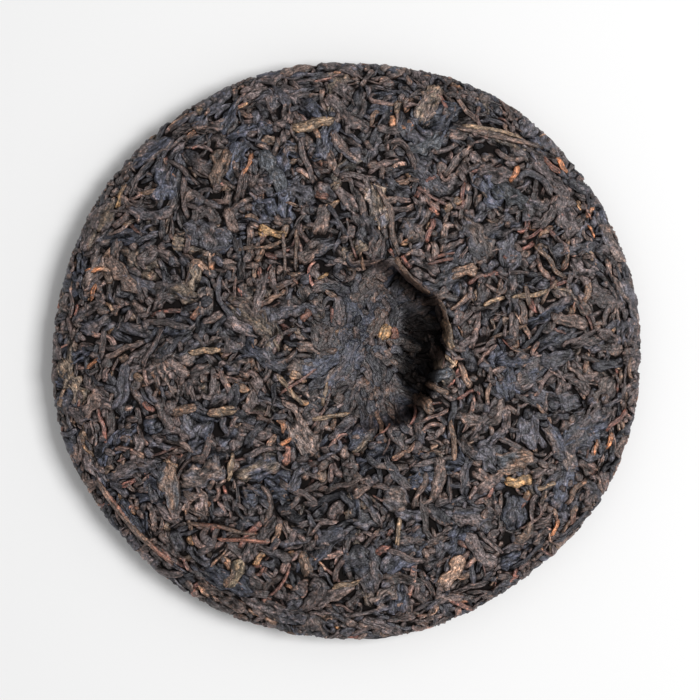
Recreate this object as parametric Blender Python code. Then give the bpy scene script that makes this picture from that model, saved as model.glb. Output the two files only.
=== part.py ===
"""A compressed tea cake, 200 mm across: a thick disc of pressed leaf, domed on the face it rests on, with the
off-centre hollow that the knot of the pressing cloth leaves in the other face. One solid, in metres, +Z up.

The skin is a grid of closed rings. The first ring lies round the pit, the deepest point of the hollow. The rings
widen to the hollow's lip, then over the crown to the shoulder, round the edge, and in under the cake to the flat
spot that it stands on.
"""

import math

import bmesh
import bpy
from mathutils import Vector

# Outline seen from above: a mean radius, and waves as (count, share of the radius, degrees from +X).
MEAN_RADIUS = 0.100
OUTLINE_WAVES = ((2, 0.0107, 10), (3, 0.0026, -45), (5, 0.0042, -18), (8, 0.0034, 14))

# Section. From the outline, the widest level, each face rises by a rounded edge and then by a dome.
EDGE_ROUNDING = 15
EDGE_RISE = 0.0060
DOME_RISE = 0.0055
DOME_CURVE = 2.3
EDGE_FALL = 0.0056
BELLY_FALL = 0.0044
BELLY_CURVE = 2.2
EDGE_HEIGHT = EDGE_FALL + BELLY_FALL

# Radii as shares of the outline's.
SHOULDER_SHARE = 0.93
REST_SHARE = 0.46

# The hollow, from the middle of the cake.
HOLLOW_CENTRE = Vector((0.0050, 0.0010))
HOLLOW_RADIUS = 0.0285
HOLLOW_WAVES = ((2, 0.045, 62), (5, 0.038, 20))
HOLLOW_DEPTH = 0.0155
PIT_OFFSET = Vector((0.0165, -0.0025))
LIP_DIRECTION = math.radians(2)
LIP_RISE = 0.0013
LIP_WIDTH = 0.010
LIP_SHARPNESS = 8
WALL_CURVE = 3.2
FLOOR_START = 0.06
STEEP_GAIN = 1.35
STEEP_OFFSET = -0.12

# Folds that the gathered cloth leaves in the floor of the hollow.
FOLD_CENTRE = Vector((0.0000, -0.0060))
FOLD_COUNT = 12
FOLD_DEPTH = 0.0007
FOLD_SHARPNESS = 0.6
FOLD_LEVEL = 0.6
FOLD_WANDER = 0.6
FOLD_START = 0.012

# Slow unevenness of both faces, as (share of the depth, waves per metre along X, along Y, phase).
SWELL_DEPTH = 0.00045
SWELLS = ((0.5, 11.0, 6.0, 0.4), (0.3, -7.0, 13.0, 1.9), (0.2, 19.0, -15.0, 3.1))

SECTORS = 72
HOLLOW_RINGS = 13
CROWN_RINGS = 12
EDGE_RINGS = 5
BELLY_RINGS = 6
CREASE_ANGLE = math.radians(50)

NODE = "tea_cake"
LEAF_COLOUR = (0.045, 0.034, 0.028, 1.0)
LEAF_ROUGHNESS = 0.7


def smooth_step(value):
    """0 below 0, 1 above 1, and a smooth S between."""
    value = min(max(value, 0.0), 1.0)
    return value * value * (3.0 - 2.0 * value)


def mix(low, high, share):
    return low + (high - low) * share


def wavy_radius(radius, waves, angle):
    return radius * (1.0 + sum(size * math.cos(count * (angle - math.radians(turn)))
                               for count, size, turn in waves))


def direction(angle):
    return Vector((math.cos(angle), math.sin(angle)))


def outline(angle, share=1.0):
    """A point of the cake's outline, or of the same curve at a share of its size."""
    return direction(angle) * wavy_radius(MEAN_RADIUS, OUTLINE_WAVES, angle) * share


def lip(angle):
    """A point of the hollow's lip."""
    return HOLLOW_CENTRE + direction(angle) * wavy_radius(HOLLOW_RADIUS, HOLLOW_WAVES, angle)


def swell(point):
    return SWELL_DEPTH * sum(share * math.sin(math.tau * (across * point.x + along * point.y) + phase)
                             for share, across, along, phase in SWELLS)


def rounding(share):
    """1 over most of the cake, and down to 0 at the outline, as a quarter of a superellipse."""
    return math.sqrt(max(1.0 - share ** EDGE_ROUNDING, 0.0))


def crown(point, angle):
    """Height of the hollow's face before the hollow is pressed into it."""
    share = min(point.length / outline(angle).length, 1.0)
    rise = DOME_RISE * (1.0 - share ** DOME_CURVE) + (EDGE_RISE + swell(point)) * rounding(share)
    return EDGE_HEIGHT + rise


def belly(share):
    """Height of the face that the cake stands on: flat in the middle, and curved up to the outline."""
    beyond = max(share - REST_SHARE, 0.0) / (1.0 - REST_SHARE)
    return EDGE_HEIGHT - EDGE_FALL * rounding(share) - BELLY_FALL * (1.0 - beyond ** BELLY_CURVE)


def steepness(angle):
    """1 where the hollow's wall stands steep, 0 on the far side, where it runs out gently."""
    facing = 0.5 + 0.5 * math.cos(angle - LIP_DIRECTION)
    return smooth_step(STEEP_GAIN * facing + STEEP_OFFSET)


def hollow_depth(angle, reach):
    """Depth below the crown at a share of the way from the pit to the lip."""
    steep = math.sqrt(max(1.0 - reach ** WALL_CURVE, 0.0))
    gentle = 1.0 - smooth_step(mix(FLOOR_START, 1.0, reach))
    return HOLLOW_DEPTH * mix(gentle, steep, steepness(angle))


def fold(point, reach):
    """Creases that run out from the point where the cloth was gathered, deepest half way to the lip."""
    away = point - FOLD_CENTRE
    turn = math.atan2(away.y, away.x)
    wave = math.sin(FOLD_COUNT / 2.0 * turn + FOLD_WANDER * math.sin(2.0 * turn))
    crease = abs(wave) ** FOLD_SHARPNESS - FOLD_LEVEL
    fade = math.sin(math.pi * min(reach, 1.0)) * smooth_step(away.length / FOLD_START)
    return FOLD_DEPTH * crease * fade


def ring(points):
    """A closed ring of places, one for each sector."""
    return [points(math.tau * sector / SECTORS) for sector in range(SECTORS)]


def hollow_ring(reach):
    def place(angle):
        pit = HOLLOW_CENTRE + PIT_OFFSET
        point = pit.lerp(lip(angle), reach)
        rise = LIP_RISE * steepness(angle) * reach ** LIP_SHARPNESS
        height = crown(point, angle) - hollow_depth(angle, reach) + fold(point, reach) + rise
        return Vector((point.x, point.y, height))

    return ring(place)


def crown_ring(reach):
    def place(angle):
        point = lip(angle).lerp(outline(angle, SHOULDER_SHARE), reach)
        away = (point - lip(angle)).length / LIP_WIDTH
        rise = LIP_RISE * steepness(angle) * (1.0 - smooth_step(away))
        return Vector((point.x, point.y, crown(point, angle) + rise))

    return ring(place)


def edge_share(level):
    """Share of the outline's radius where the rounding has come down to this level."""
    return (1.0 - level * level) ** (1.0 / EDGE_ROUNDING)


def edge_ring(reach):
    """A ring on the edge's upper half, from the shoulder (0) out to the outline (1)."""
    share = edge_share(rounding(SHOULDER_SHARE) * (1.0 - reach))

    def place(angle):
        point = outline(angle, share)
        return Vector((point.x, point.y, crown(point, angle)))

    return ring(place)


def belly_ring(share):
    def place(angle):
        point = outline(angle, share)
        return Vector((point.x, point.y, belly(share)))

    return ring(place)


def steps(count):
    """Shares from just above 0 up to 1."""
    return [(number + 1) / count for number in range(count)]


def rings_from_pit_to_flat_spot():
    rings = [hollow_ring(reach) for reach in steps(HOLLOW_RINGS)]
    rings += [crown_ring(reach) for reach in steps(CROWN_RINGS)]
    rings += [edge_ring(reach) for reach in steps(EDGE_RINGS)]
    rings += [belly_ring(edge_share(rounding(SHOULDER_SHARE) * reach)) for reach in steps(EDGE_RINGS)]
    rings += [belly_ring(mix(SHOULDER_SHARE, REST_SHARE, reach)) for reach in steps(BELLY_RINGS)]
    return rings


def centred(rings, pit):
    """Moves the rings and the pit so that the middle of the box round them is over the origin."""
    places = [place for places in rings for place in places]
    low = Vector((min(place.x for place in places), min(place.y for place in places), 0.0))
    high = Vector((max(place.x for place in places), max(place.y for place in places), 0.0))
    middle = (low + high) / 2.0
    return [[place - middle for place in places] for places in rings], pit - middle


def cake_mesh():
    pit = Vector((*(HOLLOW_CENTRE + PIT_OFFSET), 0.0))
    pit.z = crown(pit.xy, 0.0) - HOLLOW_DEPTH
    rings, pit = centred(rings_from_pit_to_flat_spot(), pit)

    shape = bmesh.new()
    loops = [[shape.verts.new(place) for place in places] for places in rings]
    bottom_of_pit = shape.verts.new(pit)
    for sector in range(SECTORS):
        after = (sector + 1) % SECTORS
        shape.faces.new((bottom_of_pit, loops[0][sector], loops[0][after]))
        for inner, outer in zip(loops, loops[1:]):
            shape.faces.new((inner[sector], outer[sector], outer[after], inner[after]))
    shape.faces.new(reversed(loops[-1]))
    bmesh.ops.recalc_face_normals(shape, faces=shape.faces)

    mesh = bpy.data.meshes.new(NODE)
    shape.to_mesh(mesh)
    shape.free()
    mesh.shade_smooth()
    mesh.set_sharp_from_angle(angle=CREASE_ANGLE)
    return mesh


def pressed_leaf():
    material = bpy.data.materials.new("pressed_leaf")
    material.use_nodes = True
    shader = material.node_tree.nodes["Principled BSDF"]
    shader.inputs["Base Color"].default_value = LEAF_COLOUR
    shader.inputs["Roughness"].default_value = LEAF_ROUGHNESS
    shader.inputs["Metallic"].default_value = 0.0
    return material


def main():
    for old in list(bpy.data.objects):
        bpy.data.objects.remove(old)
    cake = bpy.data.objects.new(NODE, cake_mesh())
    cake.data.materials.append(pressed_leaf())
    bpy.context.scene.collection.objects.link(cake)


main()
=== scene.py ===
import math
from collections import namedtuple

import bmesh
import bpy
import numpy as np
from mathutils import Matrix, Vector
from mathutils.bvhtree import BVHTree


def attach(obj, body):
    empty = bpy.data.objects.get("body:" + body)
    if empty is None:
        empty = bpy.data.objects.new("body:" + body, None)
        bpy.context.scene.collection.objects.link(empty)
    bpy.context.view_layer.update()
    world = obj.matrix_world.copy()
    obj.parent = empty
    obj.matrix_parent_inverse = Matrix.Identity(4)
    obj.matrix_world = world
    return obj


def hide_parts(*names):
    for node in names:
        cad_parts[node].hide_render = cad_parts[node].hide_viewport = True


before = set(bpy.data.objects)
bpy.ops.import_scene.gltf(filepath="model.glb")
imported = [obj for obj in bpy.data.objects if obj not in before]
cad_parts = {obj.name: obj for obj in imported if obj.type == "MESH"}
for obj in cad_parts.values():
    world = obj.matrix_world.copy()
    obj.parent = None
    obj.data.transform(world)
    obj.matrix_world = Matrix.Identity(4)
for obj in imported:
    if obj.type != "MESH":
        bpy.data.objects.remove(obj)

NODE = "tea_cake"
BODY = "root"
MM = 0.001
SEED = 11

# The map of each face: how it turns round the edge, and how fine it is.
MAP_REACH = 116.0
SKIN_STEP = 0.8
PILE_STEP = 0.4
EDGE_START = 10.0
EDGE_TURN = 9.0
MOST_TURN = 2.3
TOP_TURN = 1.75
UNDER_TURN = 1.35
RAY_START = 60.0
PLACE_BLUR, WAY_BLUR = 1.0, 1.6
OUTLINE_RAYS = 360
LEAST_HEIGHT = 0.02

# The hollow: how far from the middle it can lie, and how deep a point inside it is. Painted shadow darkens
# its steep wall and the pit at the wall's foot on its right, and painted shade darkens its floor the deeper
# it is. Each pair is where a ramp starts and ends: of how level the skin is, of depth, or of X.
HOLLOW_REACH = 50.0
INSIDE_DEPTH = 3.0
WALL_LEVEL, WALL_DEPTH = (0.80, 0.55), (3.2, 7.2)
PIT_DEPTH, PIT_SPAN = (12.5, 15.0), (15.5, 20.5)
SHADOW_OFFSET = 4.0
SHADOW_BLUR = 1.2
FLOOR_DEPTH, CRUSHED_DEPTH = (0.0, 4.0), (1.5, 4.5)
PAINTED_FLOOR_SHADE, HOLLOW_SHADOW = 0.12, 0.90
# On the hollow's floor the leaves are crushed flatter, and the painted shade of their folds is evened out.
CRUSHING, EVENNESS, MIDDLE_CREST = 0.70, 0.55, 0.55
STRANDS_KEPT_OUT = 0.8

# How leaves are dropped: which way they head, and how they settle on what they lie on.
LOW_TRIES = 22
CRUMB_TRIES = 90
HEADING_TRIES = 5
DRIFT_TURNS, DRIFT_LENGTHS = (2.4, 2.0), (21.0, 17.0, 37.0)
FACING_SHIFT = 1.3
HEADING_SPREAD = 0.95
EDGE_ZONE, ALONG_EDGE, EDGE_SPREAD = (-0.4, 0.6), 0.6, 0.35
HOLLOW_ZONE, NEAR_SPREAD, FAR_SPREAD = 2.5, 0.35, 0.8
LATER = 0.15
DRAPE_REACH = 0.7
FINER_ALONG, FINER_ACROSS = 3, 2
KEEL_DROP = 0.9

# How the pile is pressed, and the painted shade that darkens it deep down and where it lies lower than round
# it.
PRESS_BLUR = 3.0
PRESS_LIMIT, EDGE_LIMIT = 0.75, 1.05
PRESS_OFFSET = -0.50
DEEPEST = -1.9
SEEN_MARGIN, LEAST_SEEN = 0.10, 0.08
NEAR_BLUR = 0.9
SHADED_BELOW, UNSHADED_ABOVE = -1.35, -0.25
DARKEST = 0.26
SUNK, SUNK_SHADE = (0.0, 0.7), 0.62
CORE_DEPTH = 1.5
CORE_WELD = 0.01
CORE_ROUGHNESS = 0.35
CORE_WAVES = (((1.1, 0.5, 0.2), 0.4), ((-0.4, 1.3, 0.5), 1.9), ((0.8, -1.0, 0.7), 3.1))

# The shape of a leaf: its hook and waves, how it tapers, how its sides are torn, and its cross-section.
HOOK_TURN, HOOK_START, HOOK_GAIN = (1.5, 3.0), 0.15, 3.0
WAVE_TURN, WAVE_PHASES = 9.0, 6.3
SKEW = 0.12
TAPER_POWER, TAPER_ROOT, LEAST_TAPER = (2.4, 6.0), (0.7, 1.7), 0.25
TEAR_LENGTH, TEAR_GAIN = 2.2, 1.6
END_POWER, DOME_POWER, DOME_ROOT, END_THICKNESS = 4, 3.0, 0.40, 0.4
TIP_DIP, TIP_POWER, LEAF_TILT = 0.55, 5, 0.16
FOLD_SLANT, FOLD_WANDER, WANDER_LENGTH = 0.35, 0.5, 2.6
FOLD_LEVEL, FINE_FOLDS, FINE_CRESTS, CREST_RANGE = 0.7, 0.7, 0.5, 1.6
LEAST_THICKNESS, WIDE_GAIN, UNEVEN = 0.12, 1.3, (0.8, 1.2)
SIDE_TILT, CUPPING, SIDE_FADE = 0.25, (-0.3, 0.5), 4

# The colour of a leaf: patches of a second colour, how much leaves differ, painted shade at its sides, in
# the valleys of its folds and on its underside, and painted light on its fold crests.
PATCH_SIZE, PATCH_LEVEL, PATCH_GAIN, PATCH_SPREAD = (4, 5), 0.35, 1.2, 0.25
LEAF_CONTRAST = 0.24
PAINTED_SIDE_SHADE, SIDE_START = 0.42, 1.25
PAINTED_VALLEY_SHADE, CREST_GAIN = 0.58, 1.22
UNDERSIDE_PAINTED_SHADE = 0.5
LEAF_NUMBER_STEP = 500.0

# Materials. Wrinkles and cracks are scaled across and along a leaf. Broad leaves are crumpled, and in the
# others both are drawn out. Noises are given as waves per metre and detail. Shades multiply the leaf's tint
# where a noise is low and where it is high.
WRINKLE_HEIGHT, CRACK_DEPTH, PIT_HEIGHT = 0.50, 0.15, 0.30
CRUMPLED = (1.7, 0.5, 1.0), (0.80, 0.34, 1.0)
DRAWN_OUT = (2.1, 0.24, 1.0), (0.9, 0.20, 1.0)
BROAD_WIDTH = 4.0
WRINKLE_DETAIL = 4.0
SPOTS, FLECKS, PITS, SPECKS = (420.0, 3.0), (640.0, 4.0), (1100.0, 3.0), (2300.0, 1.0)
NOISE_RANGE = 0.3, 0.7
SPOT_SHADES, WRINKLE_SHADES = (0.70, 1.30), (0.45, 1.55)
PIT_SHADES, SPECK_SHADES = (0.45, 1.60), (0.55, 1.45)
CRACK_WARP, CRACK_WIDTH, CRACK_SHADES = 700.0, 0.14, (0.50, 1.15)
FLECK_RANGE, MOST_WORN, WORN = (0.54, 0.66), 0.6, (2.4, 1.95, 1.6)
ROUGHNESS = 0.27, 0.47
DARK_TINTS, SHEEN = (0.004, 0.036), (0.06, 0.55)
DUST_LUMPS, DUST_RELIEF = (600.0, 4.0), 0.4
# The dust's colours are darkened as painted shade, so that gaps between leaves read as shadow.
DUST_AND_SHADE_DARK, DUST_AND_SHADE_PALE = (9, 8, 8), (27, 22, 21)
DUST_ROUGHNESS, DUST_SHEEN = 0.85, 0.1

# The bake map, as shares of a leaf's cell: its side, and small rounds above and below it for its end faces.
CELL_SLENDERNESS = 4.0
SIDE_START_AT, SIDE_SPAN = (0.05, 0.06), (0.90, 0.88)
ROUND_AT, ROUND_REACH, ROUND_GAP = (0.5, 0.97), (0.03, 0.01), 0.94

# The studio, in metres and watts, and the camera.
LAMP_PLACE, LAMP_SIZE, LAMP_POWER = (0.842, 0.082, 1.358), 0.68, 21.0
SKY_LIGHT, BACKDROP = 0.44, 0.95
FLOOR_SIZE, FLOOR_WHITE, FLOOR_ROUGHNESS = 3.0, 0.86, 0.9
CAMERA_DISTANCE, SEEN_WIDTH, SEEN_LEVEL = 0.70, 0.2394, 0.010
CAMERA_SHIFT = (0.0012, 0.00034)

# Kind of leaf: points across and stations along it, ranges of length and width, thickness, height of its
# folds and their size across and along, how far folds slant, bend from end to end and waviness in radians,
# the share with a curled end, how little a leaf follows what it lies on, how pointed its ends and how ragged
# its sides are, and its colours.
Kind = namedtuple("Kind", "across stations length width thickness folds fold_size twist bend waves hooks "
                          "stiffness pointed ragged palette")

# Colours as (share, sRGB). Blue-grey tints in BLUES and DARKS are painted reflection of the sky.
DARKS = ((5, (72, 63, 62)), (4, (62, 60, 66)), (4, (84, 72, 70)), (3, (46, 45, 50)), (3, (98, 82, 76)))
BLUES = ((5, (57, 59, 70)), (4, (68, 66, 72)), (4, (78, 69, 69)), (2, (94, 81, 76)), (1, (106, 92, 80)))
BROWNS = ((4, (100, 80, 74)), (4, (86, 71, 68)), (3, (118, 94, 80)), (2, (112, 76, 68)))
TANS = ((4, (126, 103, 86)), (5, (108, 90, 79)), (1, (158, 122, 92)), (2, (128, 92, 71)), (2, (108, 76, 66)))
REDS = ((3, (92, 70, 65)), (2, (106, 76, 68)), (1, (80, 67, 64)))

KINDS = {
    "broad_leaves": Kind(
        across=15, stations=15, length=(9, 22), width=(4.0, 9.0), thickness=0.28, folds=0.70,
        fold_size=(1.1, 2.8), twist=0.4, bend=0.4, waves=0.10, hooks=0.0, stiffness=0.25, pointed=0.30,
        ragged=0.36, palette=BLUES),
    "folded_leaves": Kind(
        across=10, stations=13, length=(7, 17), width=(2.4, 5.0), thickness=0.46, folds=0.65,
        fold_size=(0.9, 3.2), twist=0.7, bend=0.7, waves=0.20, hooks=0.08, stiffness=0.38, pointed=0.25,
        ragged=0.28, palette=DARKS),
    "dark_twists": Kind(
        across=7, stations=14, length=(6, 17), width=(1.4, 2.9), thickness=0.80, folds=0.48,
        fold_size=(0.7, 3.5), twist=1.0, bend=0.8, waves=0.28, hooks=0.16, stiffness=0.55, pointed=0.22,
        ragged=0.20, palette=DARKS),
    "brown_twists": Kind(
        across=7, stations=13, length=(5, 14), width=(1.2, 2.6), thickness=0.75, folds=0.45,
        fold_size=(0.65, 3.5), twist=1.2, bend=0.9, waves=0.30, hooks=0.18, stiffness=0.55, pointed=0.22,
        ragged=0.22, palette=BROWNS),
    "tan_bits": Kind(
        across=6, stations=8, length=(3.0, 8.5), width=(1.3, 3.2), thickness=0.45, folds=0.42,
        fold_size=(0.7, 2.4), twist=0.7, bend=0.9, waves=0.30, hooks=0.10, stiffness=0.45, pointed=0.26,
        ragged=0.38, palette=TANS),
    "stems": Kind(
        across=5, stations=14, length=(8, 20), width=(0.9, 1.5), thickness=0.85, folds=0.10,
        fold_size=(0.8, 6.0), twist=0.3, bend=0.4, waves=0.16, hooks=0.0, stiffness=0.70, pointed=0.20,
        ragged=0.08, palette=REDS),
    "crumbs": Kind(
        across=5, stations=6, length=(2.2, 5.5), width=(1.4, 3.0), thickness=0.40, folds=0.40,
        fold_size=(0.7, 1.6), twist=0.5, bend=0.5, waves=0.25, hooks=0.0, stiffness=0.30, pointed=0.32,
        ragged=0.45, palette=DARKS),
}

# How many leaves are dropped on each face.
TOP_COUNTS = {"broad_leaves": 400, "folded_leaves": 640, "dark_twists": 680, "brown_twists": 640,
              "tan_bits": 390, "stems": 80, "crumbs": 900}
UNDER_COUNTS = {"broad_leaves": 260, "folded_leaves": 380, "dark_twists": 440, "brown_twists": 400,
                "tan_bits": 180, "stems": 70, "crumbs": 420}

# Points across and stations along a leaf of the underside, which has coarser leaves.
COARSER = {"broad_leaves": (11, 12), "folded_leaves": (8, 11), "dark_twists": (6, 11),
           "brown_twists": (6, 10), "tan_bits": (5, 7), "stems": (5, 11), "crumbs": (4, 5)}

# Leaves that stand out, laid last on the top face: kind, middle (x, y), heading in degrees, length, width,
# bend in radians, and colour.
# SLATE's blue-grey is painted reflection of the sky.
ORANGE, GOLD, TAN, RUSSET = (148, 100, 72), (146, 116, 84), (122, 102, 84), (116, 80, 68)
BROWN, SLATE, UMBER, STRAW = (104, 84, 72), (62, 64, 69), (84, 70, 64), (140, 124, 104)
Landmark = namedtuple("Landmark", "kind spot heading length width bend colour")
LANDMARKS = [Landmark(*each) for each in (
    ("folded_leaves", (-60, -46), 100, 17, 6.0, 0.2, SLATE),
    ("folded_leaves", (-25, 61), 118, 16, 5.5, 0.2, SLATE),
    ("broad_leaves", (-43, 62), 75, 14, 7.0, 0.1, SLATE),
    ("broad_leaves", (27, 70), 20, 12, 5.5, 0.2, SLATE),
    ("broad_leaves", (55, 53), 150, 13, 6.0, 0.2, SLATE),
    ("broad_leaves", (57, -37), 15, 13, 6.5, 0.1, SLATE),
    ("folded_leaves", (36, -75), 60, 13, 5.0, 0.3, SLATE),
    ("folded_leaves", (-11, 77), 12, 15, 3.8, 0.3, TAN),
    ("folded_leaves", (40, 27), 10, 9, 4.5, 0.0, BROWN),
    ("folded_leaves", (-76, 26), 130, 16, 5.5, -0.3, UMBER),
    ("dark_twists", (53, 73), -9, 32, 2.4, 0.15, UMBER),
    ("brown_twists", (50, 75), -8, 22, 1.6, 0.1, TAN),
    ("tan_bits", (-85, 27.5), 2, 10.5, 1.9, -0.5, ORANGE),
    ("tan_bits", (-78, 54), 78, 10, 2.8, 0.2, GOLD),
    ("tan_bits", (-86, 20), 70, 7, 1.5, 0.2, ORANGE),
    ("tan_bits", (-33.5, 63), 62, 9, 1.4, 0.9, ORANGE),
    ("tan_bits", (-32, 45), 160, 6, 1.5, 1.8, ORANGE),
    ("tan_bits", (-67, 54), 12, 6, 1.3, 0.2, GOLD),
    ("folded_leaves", (-25, 40), -12, 10, 3.6, 0.4, GOLD),
    ("dark_twists", (-28, 35.5), 10, 18, 1.6, 0.3, BROWN),
    ("dark_twists", (-21, 33), 92, 15, 1.5, 0.1, UMBER),
    ("dark_twists", (-17, 34), 88, 15, 1.4, -0.1, UMBER),
    ("tan_bits", (71, 64), -35, 8, 2.6, 0.2, RUSSET),
    ("tan_bits", (75, 65), -60, 7, 2.2, 0.2, ORANGE),
    ("tan_bits", (57, 60), 60, 7, 2.2, 0.3, ORANGE),
    ("tan_bits", (84, 41), -70, 5, 1.8, 0.2, ORANGE),
    ("brown_twists", (62, 19), 8, 13, 1.6, 0.2, TAN),
    ("brown_twists", (50, 17), 20, 8, 1.6, -0.4, TAN),
    ("dark_twists", (14.5, 45), -75, 26, 2.4, -0.1, UMBER),
    ("dark_twists", (22, 24.5), -48, 18, 2.3, 0.5, BROWN),
    ("brown_twists", (33, 12), -70, 13, 1.8, -0.5, UMBER),
    ("folded_leaves", (34.2, 5.5), -72, 11, 3.4, 0.3, TAN),
    ("folded_leaves", (29.5, 17.5), 25, 9, 3.6, 0.3, UMBER),
    ("folded_leaves", (31.5, -8.0), 15, 9, 3.8, -0.4, SLATE),
    ("dark_twists", (30.5, -12.5), -25, 9, 2.4, 0.4, BROWN),
    ("folded_leaves", (26.5, -17.5), -50, 9, 4.2, 0.3, SLATE),
    ("tan_bits", (13.5, 6.5), 60, 6, 3.6, 0.4, GOLD),
    ("tan_bits", (35, -3), -50, 6, 1.3, 0.2, TAN),
    ("folded_leaves", (58, -44), 5, 9.5, 3.6, 0.1, GOLD),
    ("tan_bits", (68, -45.5), 14, 7, 1.8, 0.2, TAN),
    ("folded_leaves", (60, -62), 40, 10, 3.0, 2.0, UMBER),
    ("tan_bits", (72, -61), 70, 7, 2.2, 1.2, ORANGE),
    ("tan_bits", (91, -31), 75, 7, 2.0, 0.2, ORANGE),
    ("tan_bits", (85, -33), 80, 6, 1.6, -0.3, ORANGE),
    ("brown_twists", (17.5, -61), 85, 10, 1.8, 0.2, TAN),
    ("folded_leaves", (-42, -20.5), 8, 10, 3.2, 0.2, TAN),
    ("folded_leaves", (-55, -20), 20, 9, 3.0, -0.3, BROWN),
    ("brown_twists", (-39, -39), 80, 10, 2.0, 0.3, TAN),
    ("stems", (-42, -60), -10, 25, 1.7, 0.1, RUSSET),
    ("stems", (-35, -64), -3, 18, 1.5, 0.1, RUSSET),
    ("folded_leaves", (-38, -76), 60, 12, 5.0, 0.4, STRAW),
    ("tan_bits", (-86, -4), 35, 6, 2.4, 0.3, ORANGE),
    ("brown_twists", (-48, 0), 5, 11, 2.2, 0.2, TAN),
    ("stems", (-74, -60), -49, 40, 2.2, 0.35, RUSSET),
    ("stems", (-78, -57), -52, 30, 1.8, 0.35, UMBER),
    ("tan_bits", (-13.5, 12), 40, 5, 2.4, 0.3, RUSSET),
    ("tan_bits", (-8, 25), 20, 5, 1.6, 0.3, GOLD),
    ("tan_bits", (17, 6), 80, 4.5, 3.0, 0.2, RUSSET),
    ("tan_bits", (-7, -14), 80, 9, 1.5, -0.2, TAN),
    ("brown_twists", (-19, -13), -48, 14, 1.8, 0.1, TAN),
    ("brown_twists", (-5, -22), 8, 13, 1.6, 0.2, TAN),
    ("tan_bits", (-20, -30), 30, 6, 1.6, 0.1, ORANGE),
    ("brown_twists", (0, -79), 10, 10, 1.8, 0.3, TAN),
    ("folded_leaves", (-14, -72), 100, 9, 4.0, 0.2, BROWN),
    ("brown_twists", (36, -30), 95, 14, 2.0, 0.2, BROWN),
    ("brown_twists", (69, 30), -50, 16, 1.8, 0.4, BROWN),
    ("brown_twists", (61, 19), -80, 8, 1.6, 0.2, BROWN),
)]


def smooth_step(value):
    """0 below 0, 1 above 1, and a smooth S between."""
    value = np.clip(value, 0.0, 1.0)
    return value * value * (3.0 - 2.0 * value)


def ramp(value, start, end):
    """0 up to start, 1 from end on, and a smooth S between. The end may be the lower of the two."""
    return smooth_step((value - start) / (end - start))


def map_grid(step):
    """Coordinates of the cells of a map."""
    axis = np.arange(-MAP_REACH, MAP_REACH + step / 2, step)
    return np.meshgrid(axis, axis)


def blurred(field, reach):
    """The field with a bell-shaped blur; reach is the bell's width in cells."""
    size = max(int(3 * reach), 1)
    bell = np.exp(-0.5 * (np.arange(-size, size + 1) / reach) ** 2)
    bell /= bell.sum()
    for axis in (0, 1):
        pads = [(0, 0)] * field.ndim
        pads[axis] = (size, size)
        wide = np.pad(field, pads, mode="edge")
        cut = [slice(None)] * field.ndim
        total = np.zeros_like(field)
        for offset, weight in enumerate(bell):
            cut[axis] = slice(offset, offset + field.shape[axis])
            total += weight * wide[tuple(cut)]
        field = total
    return field


def sampled(field, points, step):
    """The field between its cells, at points of the map."""
    place = np.clip((points + MAP_REACH) / step, 0, field.shape[0] - 1.001)
    cell = place.astype(int)
    share = place - cell
    column, row = cell[..., 0], cell[..., 1]
    right, up = share[..., 0], share[..., 1]
    if field.ndim == 3:
        right, up = right[..., None], up[..., None]
    low = field[row, column] * (1 - right) + field[row, column + 1] * right
    high = field[row + 1, column] * (1 - right) + field[row + 1, column + 1] * right
    return low * (1 - up) + high * up


class Skin:
    """One face of the solid as a flat map that runs on round the edge. Facing is 1 for the top, -1 for the
    underside. Each point of the map has a place on the solid and a direction out of it."""

    def __init__(self, tree, outline, middle, facing):
        x, y = map_grid(SKIN_STEP)
        away, angle = np.hypot(x, y), np.arctan2(y, x)
        pivot = np.interp(angle, *outline) - EDGE_START
        turn = np.clip((away - pivot) / EDGE_TURN, 0.0, MOST_TURN)
        inner = np.minimum(away, pivot)
        ways = [np.sin(turn) * np.cos(angle), np.sin(turn) * np.sin(angle), facing * np.cos(turn)]
        ways = np.stack(ways, -1)
        pivots = np.stack([inner * np.cos(angle), inner * np.sin(angle), np.full_like(x, middle)], -1)
        starts = (pivots + ways * RAY_START).reshape(-1, 3) * MM
        found = np.zeros((x.size, 6))
        for number, (start, way) in enumerate(zip(starts.tolist(), (-ways.reshape(-1, 3)).tolist())):
            place, normal, _, _ = tree.ray_cast(Vector(start), Vector(way))
            found[number, :3] = place
            found[number, 3:] = normal
        found = found.reshape(*x.shape, 6)
        found[..., :3] = blurred(found[..., :3] / MM, PLACE_BLUR)
        found[..., 3:] = blurred(found[..., 3:], WAY_BLUR)
        self.field = found
        self.facing = facing
        self.outline = outline

    def at(self, points):
        """Places and directions."""
        found = sampled(self.field, points, SKIN_STEP)
        ways = found[..., 3:]
        return found[..., :3], ways / np.linalg.norm(ways, axis=-1, keepdims=True)

    def turn(self, points):
        """How far round the edge points of the map are, in radians."""
        angle = np.arctan2(points[..., 1], points[..., 0])
        pivot = np.interp(angle, *self.outline) - EDGE_START
        return (np.hypot(points[..., 0], points[..., 1]) - pivot) / EDGE_TURN

    def wrapped(self, points, heights):
        """Places over the skin, in metres, never below the floor."""
        places, ways = self.at(points)
        places = places + ways * heights[..., None]
        places[..., 2] = np.maximum(places[..., 2], LEAST_HEIGHT)
        return places * MM


def solid_tree():
    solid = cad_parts[NODE]
    vertices = [vertex.co for vertex in solid.data.vertices]
    return BVHTree.FromPolygons(vertices, [tuple(face.vertices) for face in solid.data.polygons])


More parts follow.
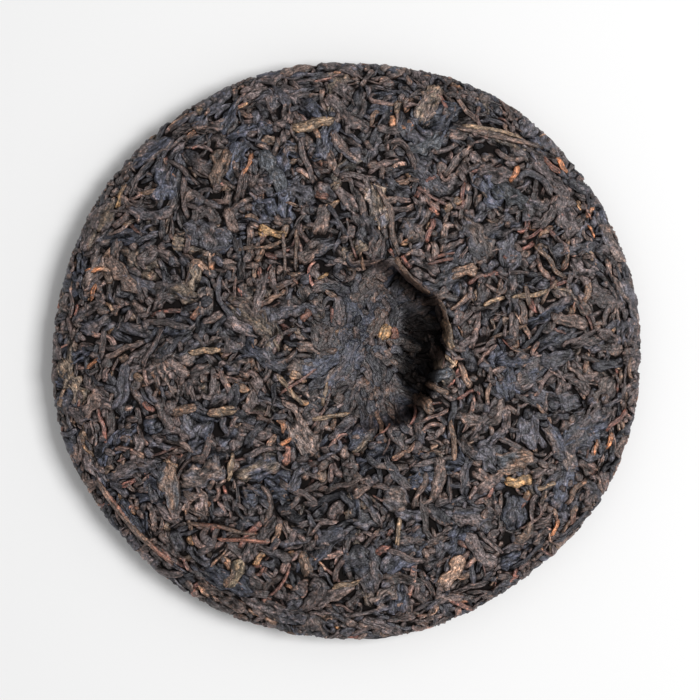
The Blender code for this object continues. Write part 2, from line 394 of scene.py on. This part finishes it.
def solid_outline(tree):
    """Angles and radii of the solid's outline, and the height of its widest level."""
    vertices = np.array([vertex.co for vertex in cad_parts[NODE].data.vertices])
    middle = vertices[np.argmax(np.hypot(vertices[:, 0], vertices[:, 1])), 2]
    angles = np.linspace(-math.pi, math.pi, OUTLINE_RAYS + 1)
    radii = []
    for angle in angles:
        way = Vector((math.cos(angle), math.sin(angle), 0.0))
        place, _, _, _ = tree.ray_cast(way * 2 * MAP_REACH * MM + Vector((0, 0, middle)), -way)
        radii.append(math.hypot(place.x, place.y) / MM)
    return (angles, np.array(radii)), middle / MM


class Hollow:
    """The hollow of the top face: its middle, how deep it is over the map, and where painted shadow darkens
    it.
    """

    def __init__(self, skin):
        x, y = map_grid(SKIN_STEP)
        height, level = skin.field[..., 2], skin.field[..., 5]
        near = np.hypot(x, y) < HOLLOW_REACH
        rim = height[near].max()
        inside = (height < rim - INSIDE_DEPTH) & near
        self.middle = np.array([x[inside].mean(), y[inside].mean()])
        self.depth = np.where(near, rim - height, 0.0)
        wall = ramp(level, *WALL_LEVEL) * ramp(self.depth, *WALL_DEPTH)
        pit = ramp(self.depth, *PIT_DEPTH) * ramp(x, *PIT_SPAN)
        painted_shadow = np.where(x > self.middle[0] + SHADOW_OFFSET, np.maximum(wall, pit), 0.0)
        self.painted_shadow = blurred(painted_shadow, SHADOW_BLUR)

    def at(self, points):
        """Depth at points of the map."""
        return sampled(self.depth, points, SKIN_STEP)


class Pile:
    """What lies on one face: the height of its top over the map, and the leaves dropped so far."""

    def __init__(self, skin, kinds, most_turn, hollow=None):
        self.skin = skin
        self.kinds = kinds
        self.hollow = hollow
        self.finer = {name: (refining(kind.stations, FINER_ALONG), refining(kind.across, FINER_ACROSS).T)
                      for name, kind in kinds.items()}
        x, y = map_grid(PILE_STEP)
        self.level = np.zeros(x.shape)
        points = np.stack([x, y], -1)
        self.cells = points[skin.turn(points) < most_turn]
        self.leaves = {name: [] for name in KINDS}
        ring = np.array([(0, 0), (1, 0), (-1, 0), (0, 1), (0, -1),
                         (0.7, 0.7), (-0.7, 0.7), (0.7, -0.7), (-0.7, -0.7)])
        self.stencil = ring * DRAPE_REACH

    def cell(self, points):
        return np.clip(((points + MAP_REACH) / PILE_STEP + 0.5).astype(int), 0, self.level.shape[0] - 1)

    def under(self, points):
        """Level of the pile at points, from the nearest cells."""
        cell = self.cell(points)
        return self.level[cell[..., 1], cell[..., 0]]

    def drape(self, points, stiffness):
        """Level that a leaf with these points lies on."""
        base = self.under(points[..., None, :] + self.stencil).mean(-1)
        for _ in range(2):
            base[1:-1] = (base[:-2] + 2 * base[1:-1] + base[2:]) / 4
        return base + (base.mean(1, keepdims=True) - base) * stiffness

    def raise_to(self, points, heights, finer):
        """Lifts the pile's top to the leaf's own."""
        along, across = finer
        fine_x = along @ points[..., 0] @ across
        fine_y = along @ points[..., 1] @ across
        cell = self.cell(np.stack([fine_x, fine_y], -1)).reshape(-1, 2)
        np.maximum.at(self.level, (cell[:, 1], cell[:, 0]), (along @ heights @ across).ravel())

    def low_spot(self, random, tries):
        """The lowest of some random spots."""
        spots = self.cells[random.integers(0, len(self.cells), tries)]
        return spots[np.argmin(self.under(spots))]

    def settle(self):
        """Smooth levels of the finished pile: wide, for pressing it, and near, for its painted shade."""
        self.ground = blurred(self.level, PRESS_BLUR / PILE_STEP)
        self.near = blurred(self.level, NEAR_BLUR / PILE_STEP)


class Crumple:
    """Smooth random numbers between -1 and 1 over a plane, which repeats after SIZE units."""

    SIZE = 64

    def __init__(self, random):
        self.table = random.uniform(-1.0, 1.0, (self.SIZE, self.SIZE))

    def at(self, u, v):
        u, v = np.broadcast_arrays(u, v)
        column, row = np.floor(u).astype(int), np.floor(v).astype(int)
        right, up = smooth_step(u - column), smooth_step(v - row)
        column, row = column % self.SIZE, row % self.SIZE
        beside, above = (column + 1) % self.SIZE, (row + 1) % self.SIZE
        low = self.table[row, column] * (1 - right) + self.table[row, beside] * right
        high = self.table[above, column] * (1 - right) + self.table[above, beside] * right
        return low * (1 - up) + high * up

    def start(self, random, count=None):
        """One or more random places to start from."""
        return random.uniform(0, self.SIZE, count)


CRUMPLE = Crumple(np.random.default_rng(SEED))


def refining(count, times):
    """A matrix that puts more points between the points of a row, times for each gap."""
    places = np.linspace(0, count - 1, (count - 1) * times + 1)
    low = np.minimum(places.astype(int), count - 2)
    matrix = np.zeros((len(places), count))
    rows = np.arange(len(places))
    matrix[rows, low] = 1 - (places - low)
    matrix[rows, low + 1] += places - low
    return matrix


def flow(pile, spot, random):
    """A heading for a leaf: in drifts over the face, often along the outline near the edge, and towards the
    middle of the hollow inside it, most truly on the hollow's -Y side."""
    x, y = spot
    drift = (DRIFT_TURNS[0] * math.sin(x / DRIFT_LENGTHS[0] + FACING_SHIFT * pile.skin.facing)
             + DRIFT_TURNS[1] * math.cos(y / DRIFT_LENGTHS[1] - x / DRIFT_LENGTHS[2]))
    heading = drift + random.normal(0.0, HEADING_SPREAD)
    if random.random() < ALONG_EDGE * ramp(float(pile.skin.turn(spot)), *EDGE_ZONE):
        heading = math.atan2(y, x) + math.pi / 2 + random.normal(0.0, EDGE_SPREAD)
    if pile.hollow is not None and pile.hollow.at(spot) > HOLLOW_ZONE:
        away = spot - pile.hollow.middle
        spread = NEAR_SPREAD if away[1] < 0 else FAR_SPREAD
        heading = math.atan2(away[1], away[0]) + random.normal(0.0, spread)
    return heading


def spine(spot, heading, length, curve, stations):
    """Points and headings along the middle of a leaf. Its curve is a bend from end to end, a hook at one end,
    and a wave."""
    bend, hook, wave, phase = curve
    share = np.linspace(-0.5, 0.5, stations)
    headings = heading + bend * share + hook * np.maximum(share - HOOK_START, 0.0) * HOOK_GAIN
    headings = headings + wave * np.sin(share * WAVE_TURN + phase)
    steps = np.stack([np.cos(headings), np.sin(headings)], -1) * length / (stations - 1)
    points = np.cumsum(steps, 0)
    return spot + points - points.mean(0), headings


def footprint(points, headings, sides, across):
    """Points over the whole leaf, station by station, from its left side to its right."""
    ways = np.stack([-np.sin(headings), np.cos(headings)], -1)
    reach = np.where(across < 0, sides[0][:, None], sides[1][:, None]) * across
    return points[:, None] + ways[:, None] * reach[..., None]


def side_reach(kind, width, length, share, random):
    """How far each side of the leaf reaches from its middle, along its length: tapered and ragged."""
    fullest = random.uniform(-SKEW, SKEW)
    power = random.uniform(*TAPER_POWER)
    narrowing = np.abs(2.0 * share - fullest) ** power / (1.0 + abs(fullest)) ** power
    taper = np.clip(1.0 - narrowing, 0.0, 1.0) ** (kind.pointed * random.uniform(*TAPER_ROOT))
    taper = np.maximum(taper, LEAST_TAPER)
    sides = []
    for start in CRUMPLE.start(random, 2):
        tears = CRUMPLE.at(share * length / TEAR_LENGTH + CRUMPLE.start(random), start)
        sides.append(0.5 * width * taper * (1.0 + TEAR_GAIN * kind.ragged * tears))
    return sides


def relief(kind, width, length, share, across, random):
    """Height of the leaf's upper side above what it lies on, and how near to a fold's crest each point is."""
    ends = np.clip(1.0 - np.abs(2.0 * share) ** END_POWER, 0.0, 1.0) ** 0.5
    tips = random.normal(0.0, LEAF_TILT) * 2.0 * share - TIP_DIP * np.abs(2.0 * share) ** TIP_POWER
    dome = np.clip(1.0 - np.abs(across) ** DOME_POWER, 0.0, 1.0) ** DOME_ROOT
    u, v = across[None] * width / 2, share[:, None] * length
    slant = random.normal(0, FOLD_SLANT) * kind.twist
    start = CRUMPLE.start(random, 5)
    wander = FOLD_WANDER * kind.fold_size[0] * CRUMPLE.at(v / WANDER_LENGTH + start[4], u / WANDER_LENGTH)
    oblique = (u + slant * v + wander) / kind.fold_size[0]
    along = v / kind.fold_size[1]
    folds = 2.0 * np.abs(CRUMPLE.at(oblique + start[0], along + start[1])) - FOLD_LEVEL
    fine = np.abs(CRUMPLE.at(oblique * 2 + start[2], along * 2 + start[3]))
    thickness = kind.thickness * min(width / np.mean(kind.width), WIDE_GAIN) * random.uniform(*UNEVEN)
    lean = random.normal(0, SIDE_TILT) * across[None] + random.uniform(*CUPPING) * across[None] ** 2
    inside = np.clip(SIDE_FADE * (1 - np.abs(across)), 0.0, 1.0)[None]
    body = thickness * (dome[None] * (END_THICKNESS + (1 - END_THICKNESS) * ends[:, None]) + lean * inside)
    lumps = kind.folds * (folds + FINE_FOLDS * fine) * inside
    crests = np.clip(0.5 + (folds + FINE_CRESTS * fine) / CREST_RANGE, 0.0, 1.0)
    return LEAST_THICKNESS + body + lumps + tips[:, None], crests


Leaf = namedtuple("Leaf", "points heights keel grain colour number")


def to_linear(colour):
    """A colour in sRGB, 0 to 255, as linear shares."""
    colour = np.array(colour) / 255.0
    return np.where(colour <= 0.04045, colour / 12.92, ((colour + 0.055) / 1.055) ** 2.4)


def picked(palette, random):
    shares = np.array([share for share, _ in palette], float)
    return to_linear(palette[random.choice(len(palette), p=shares / shares.sum())][1])


def painted_hollow_shadow(pile, points):
    """Painted shade darkens the hollow's floor the deeper it is, and painted shadow its wall and most of all
    the pit.
    """
    if pile.hollow is None:
        return np.ones(points.shape[:-1])
    painted_shadow = sampled(pile.hollow.painted_shadow, points, SKIN_STEP)
    return (1.0 - PAINTED_FLOOR_SHADE * ramp(pile.hollow.at(points), *FLOOR_DEPTH)) * (1.0 - HOLLOW_SHADOW * painted_shadow)


def tint(kind, width, length, share, across, random):
    """Colour over a leaf: one from the palette, turning towards another in patches, with painted shade at its
    sides.
    """
    first, second = picked(kind.palette, random), picked(kind.palette, random)
    patches = CRUMPLE.at(across[None] * width / PATCH_SIZE[0] + CRUMPLE.start(random),
                         share[:, None] * length / PATCH_SIZE[1])
    turn = smooth_step(PATCH_LEVEL + PATCH_GAIN * patches + random.normal(0, PATCH_SPREAD))[..., None]
    bright = math.exp(random.normal(0.0, LEAF_CONTRAST))
    shade = PAINTED_SIDE_SHADE + (1 - PAINTED_SIDE_SHADE) * np.clip(SIDE_START - across ** 2, 0.0, 1.0)
    return (first * (1 - turn) + second * turn) * bright * shade[None, :, None]


def kept_out(pile, kind, spot, random):
    """Most narrow strands stay out of the hollow, whose floor is of crushed broad leaf."""
    if pile.hollow is None or pile.hollow.at(spot) <= INSIDE_DEPTH or kind.width[1] >= BROAD_WIDTH:
        return False
    return random.random() < STRANDS_KEPT_OUT


def resting_place(pile, name, length, curve, sides, across, random):
    """Points of a leaf in a low spot. Of some headings it gets the one in which it lies lowest."""
    kind = pile.kinds[name]
    spot = pile.low_spot(random, CRUMB_TRIES if name == "crumbs" else LOW_TRIES)
    while kept_out(pile, kind, spot, random):
        spot = pile.low_spot(random, LOW_TRIES)
    best = None
    for _ in range(HEADING_TRIES):
        line, headings = spine(spot, flow(pile, spot, random), length, curve, kind.stations)
        tried = footprint(line, headings, sides, across)
        levels = pile.under(tried[::2, ::2])
        cost = levels.mean() + levels.std()
        if best is None or cost < best:
            best, points = cost, tried
    return points


def drop(pile, name, random, landmark=None):
    """Lays one leaf on the pile. A landmark gives its spot, heading, length, width, bend and colour."""
    kind = pile.kinds[name]
    length, width = random.uniform(*kind.length), random.uniform(*kind.width)
    hook = random.choice((-1, 1)) * random.uniform(*HOOK_TURN) if random.random() < kind.hooks else 0.0
    bend = random.normal(0.0, kind.bend)
    if landmark is not None:
        length, width, bend, hook = landmark.length, landmark.width, landmark.bend, 0.0
        kind = kind._replace(palette=((3, landmark.colour), (1, BROWN)))
    curve = bend, hook, random.uniform(0, kind.waves), random.uniform(0, WAVE_PHASES)
    share = np.linspace(-0.5, 0.5, kind.stations)
    even = np.linspace(-1.0, 1.0, kind.across)
    across = (even + np.sin(even * math.pi / 2)) / 2
    sides = side_reach(kind, width, length, share, random)
    if landmark is not None:
        heading = math.radians(landmark.heading)
        line, headings = spine(np.array(landmark.spot), heading, length, curve, kind.stations)
        points = footprint(line, headings, sides, across)
    else:
        points = resting_place(pile, name, length, curve, sides, across, random)
    base = pile.drape(points, kind.stiffness)
    deep = 0.0 if pile.hollow is None else ramp(pile.hollow.at(points.mean((0, 1))), *CRUSHED_DEPTH)
    rise, crests = relief(kind, width, length, share, across, random)
    heights = base + rise * (1.0 - CRUSHING * deep)
    pile.raise_to(points, heights, pile.finer[name])
    crests = crests + (MIDDLE_CREST - crests) * EVENNESS * deep
    # Painted shade in the valleys of the folds and painted light on their crests, times the hollow's painted
    # shade.
    shade = (PAINTED_VALLEY_SHADE + CREST_GAIN * crests) * painted_hollow_shadow(pile, points)
    colour = tint(kind, width, length, share, across, random) * shade[..., None]
    grain = np.stack(np.broadcast_arrays(across[None] * width / 2, share[:, None] * length), -1)
    pile.leaves[name].append(Leaf(points, heights, base.mean(1) - KEEL_DROP, grain, colour, random.random()))


def filled(pile, counts, landmarks, random):
    """Drops leaves of all kinds in mixed order, broad ones rather later, then crumbs into what has stayed
    low, then the landmarks."""
    names = [name for name, count in counts.items() if name != "crumbs" for _ in range(count)]
    names.sort(key=lambda name: random.random() + (LATER if KINDS[name].width[1] > BROAD_WIDTH else 0.0))
    for name in names:
        drop(pile, name, random)
    for _ in range(counts["crumbs"]):
        drop(pile, "crumbs", random)
    for landmark in landmarks:
        drop(pile, landmark.kind, random, landmark)
    pile.settle()


def pressed(pile, points, heights):
    """Heights above the skin once the pile has been pressed nearly level. The edge is pressed less."""
    over = heights - sampled(pile.ground, points, PILE_STEP)
    limit = PRESS_LIMIT + (EDGE_LIMIT - PRESS_LIMIT) * smooth_step(pile.skin.turn(points))
    limited = np.where(over > 0, limit * np.tanh(over / limit), over)
    return np.maximum(limited + PRESS_OFFSET, DEEPEST)


def seen(pile, leaf):
    """Whether enough of a leaf shows on top of the pile."""
    return (leaf.heights > pile.under(leaf.points) - SEEN_MARGIN).mean() > LEAST_SEEN


def painted_depth_shade(pile, points, heights, levels):
    """Painted shade: darkens what lies deep, or lower than what is round it."""
    sunk = sampled(pile.near, points, PILE_STEP) - levels
    deep_shade = DARKEST + (1 - DARKEST) * ramp(heights, SHADED_BELOW, UNSHADED_ABOVE)
    return deep_shade * (1.0 - SUNK_SHADE * ramp(sunk, *SUNK))


def leaf_piece(name, pile, leaves, material):
    """All leaves of one kind on one face, as one mesh of closed leaves."""
    points = np.array([leaf.points for leaf in leaves])
    levels = np.array([leaf.heights for leaf in leaves])
    keels = np.array([leaf.keel for leaf in leaves])
    middles = points.mean(2)
    heights = pressed(pile, points, levels)
    tops = pile.skin.wrapped(points, heights)
    lows = pile.skin.wrapped(middles, pressed(pile, middles, keels))
    rings = np.concatenate([tops, lows[:, :, None]], 2)
    count, stations, around = rings.shape[:3]

    colours = np.ones((count, stations, around, 4))
    shade = painted_depth_shade(pile, points, heights, levels)
    colours[:, :, :-1, :3] = np.array([leaf.colour for leaf in leaves]) * shade[..., None]
    # The keel under each leaf is darkened by painted shade.
    colours[:, :, -1, :3] = colours[:, :, 0, :3] * UNDERSIDE_PAINTED_SHADE
    grain = np.zeros((count, stations, around, 3))
    grain[:, :, :-1, :2] = np.array([leaf.grain for leaf in leaves])
    grain[:, :, -1, 1] = grain[:, :, 0, 1]
    grain[..., 2] = np.array([leaf.number for leaf in leaves])[:, None, None] * LEAF_NUMBER_STEP

    quads, corners = leaf_quads(stations, around, pile.skin.facing)
    caps = leaf_caps(stations, around, pile.skin.facing)
    mesh = bpy.data.meshes.new(name)
    fill_mesh(mesh, rings.reshape(-1, 3), quads, caps, count, stations * around)
    bake_map(mesh, corners, count, stations, around)
    add_attribute(mesh, "tint", "FLOAT_COLOR", "color", colours)
    add_attribute(mesh, "grain", "FLOAT_VECTOR", "vector", grain)
    mesh.shade_smooth()
    piece = bpy.data.objects.new(name, mesh)
    bpy.context.scene.collection.objects.link(piece)
    piece.data.materials.append(material)
    return piece


def leaf_quads(stations, around, facing):
    """Quads of one leaf's side, and their corners on an unrolled map, in points along and around."""
    along, turn = np.meshgrid(np.arange(stations - 1), np.arange(around), indexing="ij")
    along, turn = along.ravel(), turn.ravel()
    corners = np.stack([np.stack([along, turn], -1), np.stack([along, turn + 1], -1),
                        np.stack([along + 1, turn + 1], -1), np.stack([along + 1, turn], -1)], 1)
    if facing > 0:
        corners = corners[:, ::-1]
    return corners[..., 0] * around + corners[..., 1] % around, corners


def leaf_caps(stations, around, facing):
    """The two end faces of one leaf."""
    first = np.arange(around)
    last = first[::-1] + (stations - 1) * around
    caps = np.stack([first, last])
    return caps if facing > 0 else caps[:, ::-1]


def fill_mesh(mesh, vertices, quads, caps, count, step):
    """Quads and end faces of every leaf, where a leaf's vertices start step after the last one's."""
    starts = np.arange(count)[:, None, None] * step
    all_quads = (quads[None] + starts).reshape(-1)
    all_caps = (caps[None] + starts).reshape(-1)
    loops = np.concatenate([all_quads, all_caps])
    quad_count, cap_count, around = count * len(quads), count * 2, caps.shape[1]
    loop_starts = np.concatenate([np.arange(quad_count) * 4, quad_count * 4 + np.arange(cap_count) * around])
    mesh.vertices.add(len(vertices))
    mesh.vertices.foreach_set("co", vertices.astype(np.float32).ravel())
    mesh.loops.add(len(loops))
    mesh.loops.foreach_set("vertex_index", loops.astype(np.int32))
    mesh.polygons.add(quad_count + cap_count)
    mesh.polygons.foreach_set("loop_start", loop_starts.astype(np.int32))
    mesh.update(calc_edges=True)


def bake_map(mesh, corners, count, stations, around):
    """A cell of its own for each leaf, with its side, unrolled, and its end faces."""
    columns = math.ceil(math.sqrt(count * CELL_SLENDERNESS))
    rows = math.ceil(count / columns)
    cells = np.stack(np.divmod(np.arange(count), columns)[::-1], -1)
    unrolled = np.stack([corners[..., 1] / around, corners[..., 0] / (stations - 1)], -1)
    unrolled = unrolled * SIDE_SPAN + SIDE_START_AT
    side = (unrolled[None] + cells[:, None, None]).reshape(-1, 2)
    circle = np.linspace(0, 2 * math.pi, around, endpoint=False)
    ring = np.stack([np.cos(circle), np.sin(circle)], -1) * ROUND_REACH + ROUND_AT
    ends = np.stack([ring, ring - (0.0, ROUND_GAP)])
    ends = (ends[None] + cells[:, None, None]).reshape(-1, 2)
    layer = mesh.uv_layers.new(name="OFBake", do_init=False)
    places = np.concatenate([side, ends]) / (columns, rows)
    layer.data.foreach_set("uv", places.astype(np.float32).ravel())


def add_attribute(mesh, name, kind, field, values):
    attribute = mesh.attributes.new(name, kind, "POINT")
    attribute.data.foreach_set(field, values.astype(np.float32).ravel())


class Nodes:
    """Short ways to build a material from nodes."""

    def __init__(self, name):
        self.material = bpy.data.materials.new(name)
        self.material.use_nodes = True
        self.tree = self.material.node_tree
        self.shader = self.tree.nodes["Principled BSDF"]

    def add(self, kind, inputs=(), **settings):
        node = self.tree.nodes.new(kind)
        for name, value in settings.items():
            setattr(node, name, value)
        for name, value in dict(inputs).items():
            if isinstance(value, bpy.types.NodeSocket):
                self.tree.links.new(value, node.inputs[name])
            else:
                node.inputs[name].default_value = value
        return node

    def noise(self, vector, scale, detail):
        node = self.add("ShaderNodeTexNoise", {"Vector": vector, "Scale": scale, "Detail": detail})
        return node.outputs["Fac"]

    def between(self, value, low, high, new_low, new_high):
        node = self.add("ShaderNodeMapRange", {"Value": value, "From Min": low, "From Max": high,
                                               "To Min": new_low, "To Max": new_high})
        return node.outputs["Result"]

    def times(self, colour, value):
        node = self.add("ShaderNodeVectorMath", {0: colour}, operation="SCALE")
        self.tree.links.new(value, node.inputs["Scale"])
        return node.outputs["Vector"]

    def shaded(self, colour, noise, shades):
        """The colour, darker where a noise is low and lighter where it is high."""
        return self.times(colour, self.between(noise, *NOISE_RANGE, *shades))

    def scaled(self, vector, scales):
        node = self.add("ShaderNodeVectorMath", {0: vector, 1: scales}, operation="MULTIPLY")
        return node.outputs["Vector"]

    def bump(self, height, distance, normal=None):
        inputs = {"Height": height, "Distance": distance * MM, "Strength": 1.0}
        if normal is not None:
            inputs["Normal"] = normal
        return self.add("ShaderNodeBump", inputs).outputs["Normal"]

    def into(self, name, value):
        if isinstance(value, bpy.types.NodeSocket):
            self.tree.links.new(value, self.shader.inputs[name])
        else:
            self.shader.inputs[name].default_value = value


def leaf_material(name, wrinkle_size, crack_size):
    """Leaf: its own tint, mottled, wrinkled and cracked, paler where flecks of it are worn, with a soft
    uneven sheen where its tint isn't dark with dust or painted shade."""
    nodes = Nodes(name)
    leaf_tint = nodes.add("ShaderNodeAttribute", attribute_name="tint").outputs
    grain = nodes.add("ShaderNodeAttribute", attribute_name="grain").outputs["Vector"]
    place = nodes.add("ShaderNodeTexCoord").outputs["Object"]
    wrinkles = nodes.noise(nodes.scaled(grain, wrinkle_size), 1.0, WRINKLE_DETAIL)
    spots = nodes.noise(place, *SPOTS)
    pits = nodes.noise(place, *PITS)
    flecks = nodes.noise(place, *FLECKS)
    specks = nodes.noise(place, *SPECKS)
    cracks = leaf_cracks(nodes, place, nodes.scaled(grain, crack_size))
    shade = nodes.shaded(leaf_tint["Color"], spots, SPOT_SHADES)
    shade = nodes.shaded(shade, wrinkles, WRINKLE_SHADES)
    shade = nodes.shaded(shade, pits, PIT_SHADES)
    shade = nodes.shaded(shade, specks, SPECK_SHADES)
    shade = nodes.times(shade, cracks)
    nodes.into("Base Color", worn(nodes, shade, nodes.between(flecks, *FLECK_RANGE, 0.0, MOST_WORN)))
    nodes.into("Roughness", nodes.between(spots, *NOISE_RANGE, *ROUGHNESS))
    nodes.into("Specular IOR Level", nodes.between(leaf_tint["Fac"], *DARK_TINTS, *SHEEN))
    normal = nodes.bump(wrinkles, WRINKLE_HEIGHT)
    normal = nodes.bump(cracks, CRACK_DEPTH, normal)
    nodes.into("Normal", nodes.bump(pits, PIT_HEIGHT, normal))
    return nodes.material


def leaf_cracks(nodes, place, size):
    """Low along the cracks between the cells of a leaf, whose sides are bent by a noise."""
    warp = nodes.add("ShaderNodeTexNoise", {"Vector": place, "Scale": CRACK_WARP}).outputs["Color"]
    bent = nodes.add("ShaderNodeVectorMath", {0: warp, 1: (1.0, 1.0, 0.0), 2: size}, operation="MULTIPLY_ADD")
    cells = nodes.add("ShaderNodeTexVoronoi", {"Vector": bent.outputs["Vector"], "Scale": 1.0},
                      feature="DISTANCE_TO_EDGE")
    return nodes.between(cells.outputs["Distance"], 0.0, CRACK_WIDTH, *CRACK_SHADES)


def worn(nodes, shade, amount):
    """The shade, turned paler and warmer where the leaf is worn."""
    mixed = nodes.add("ShaderNodeMix", {"Factor": amount}, data_type="RGBA")
    nodes.tree.links.new(shade, mixed.inputs[6])
    nodes.tree.links.new(nodes.scaled(shade, WORN), mixed.inputs[7])
    return mixed.outputs[2]


def core_material():
    """Packed leaf dust deep between the leaves, made nearly black as painted shade in the gaps."""
    nodes = Nodes("packed_dust_and_shade")
    place = nodes.add("ShaderNodeTexCoord").outputs["Object"]
    lumps = nodes.noise(place, *DUST_LUMPS)
    colour = nodes.add("ShaderNodeMix", {"Factor": lumps}, data_type="RGBA")
    colour.inputs[6].default_value = (*to_linear(DUST_AND_SHADE_DARK), 1.0)
    colour.inputs[7].default_value = (*to_linear(DUST_AND_SHADE_PALE), 1.0)
    nodes.into("Base Color", colour.outputs[2])
    nodes.into("Roughness", DUST_ROUGHNESS)
    nodes.into("Specular IOR Level", DUST_SHEEN)
    nodes.into("Normal", nodes.bump(lumps, DUST_RELIEF))
    return nodes.material


def core():
    """The solid, drawn in by the depth of the leaves, with a lumpy skin."""
    shape = bmesh.new()
    shape.from_mesh(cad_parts[NODE].data)
    bmesh.ops.remove_doubles(shape, verts=shape.verts, dist=CORE_WELD * MM)
    piece = bpy.data.objects.new("core", bpy.data.meshes.new("core"))
    shape.to_mesh(piece.data)
    shape.free()
    bpy.context.scene.collection.objects.link(piece)
    finer = piece.modifiers.new("finer", "SUBSURF")
    finer.levels = 1
    finer.render_levels = 1
    mesh = bpy.data.meshes.new_from_object(piece.evaluated_get(bpy.context.evaluated_depsgraph_get()))
    piece.modifiers.clear()
    piece.data = mesh
    mesh.name = "core"
    places = np.array([vertex.co for vertex in mesh.vertices])
    ways = np.array([vertex.normal for vertex in mesh.vertices])
    lumps = sum(np.sin(places @ np.array(wave) / MM + phase) for wave, phase in CORE_WAVES)
    places = places - ways * (CORE_DEPTH + CORE_ROUGHNESS / len(CORE_WAVES) * lumps)[:, None] * MM
    mesh.vertices.foreach_set("co", places.astype(np.float32).ravel())
    mesh.update()
    mesh.materials.clear()
    mesh.materials.append(core_material())
    mesh.shade_smooth()
    return piece


def belongs(piece, replaced=False):
    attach(piece, BODY)
    if replaced:
        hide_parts(NODE)


def covered(label, skin, kinds, most_turn, counts, materials, random, hollow=None, landmarks=()):
    """Covers one face of the cake with leaf. Leaves that nothing is seen of are left out."""
    pile = Pile(skin, kinds, most_turn, hollow)
    filled(pile, counts, landmarks, random)
    for name, leaves in pile.leaves.items():
        leaves = [leaf for leaf in leaves if seen(pile, leaf)]
        belongs(leaf_piece(label + "_" + name, pile, leaves, materials[name]))


def plain_floor():
    bpy.ops.mesh.primitive_plane_add(size=FLOOR_SIZE)
    floor = bpy.context.object
    floor.name = "floor"
    nodes = Nodes("pale_floor")
    nodes.into("Base Color", (FLOOR_WHITE, FLOOR_WHITE, FLOOR_WHITE, 1.0))
    nodes.into("Roughness", FLOOR_ROUGHNESS)
    floor.data.materials.append(nodes.material)


def lamp(name, place, size, watts):
    light = bpy.data.lights.new(name, "AREA")
    light.size = size
    light.energy = watts
    holder = bpy.data.objects.new(name, light)
    bpy.context.scene.collection.objects.link(holder)
    holder.location = place
    holder.rotation_euler = (-Vector(place)).to_track_quat("-Z", "Y").to_euler()


def studio():
    """A soft lamp from the right, and a white sky that is brighter to the camera than to the cake."""
    lamp("window", LAMP_PLACE, LAMP_SIZE, LAMP_POWER)
    world = bpy.data.worlds.new("studio")
    world.use_nodes = True
    tree = world.node_tree
    background = tree.nodes["Background"]
    background.inputs["Color"].default_value = (1.0, 1.0, 1.0, 1.0)
    rays = tree.nodes.new("ShaderNodeLightPath")
    strength = tree.nodes.new("ShaderNodeMix")
    strength.inputs[2].default_value = SKY_LIGHT
    strength.inputs[3].default_value = BACKDROP
    tree.links.new(rays.outputs["Is Camera Ray"], strength.inputs[0])
    tree.links.new(strength.outputs[0], background.inputs["Strength"])
    bpy.context.scene.world = world
    bpy.context.scene.view_settings.view_transform = "Standard"


def camera():
    """Straight above, with the cake a little left of the middle."""
    lens = bpy.data.cameras.new("camera")
    holder = bpy.data.objects.new("camera", lens)
    bpy.context.scene.collection.objects.link(holder)
    lens.lens = lens.sensor_width * CAMERA_DISTANCE / SEEN_WIDTH
    holder.location = (*CAMERA_SHIFT, SEEN_LEVEL + CAMERA_DISTANCE)
    bpy.context.scene.camera = holder


def main():
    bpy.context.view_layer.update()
    random = np.random.default_rng(SEED)
    tree = solid_tree()
    outline, middle = solid_outline(tree)
    top = Skin(tree, outline, middle, 1)
    underside = Skin(tree, outline, middle, -1)
    materials = {name: leaf_material(name, *(CRUMPLED if kind.width[1] > BROAD_WIDTH else DRAWN_OUT))
                 for name, kind in KINDS.items()}
    belongs(core(), replaced=True)
    covered("top", top, KINDS, TOP_TURN, TOP_COUNTS, materials, random, Hollow(top), LANDMARKS)
    coarser = {name: kind._replace(across=COARSER[name][0], stations=COARSER[name][1])
               for name, kind in KINDS.items()}
    covered("under", underside, coarser, UNDER_TURN, UNDER_COUNTS, materials, random)
    plain_floor()
    studio()
    camera()


main()
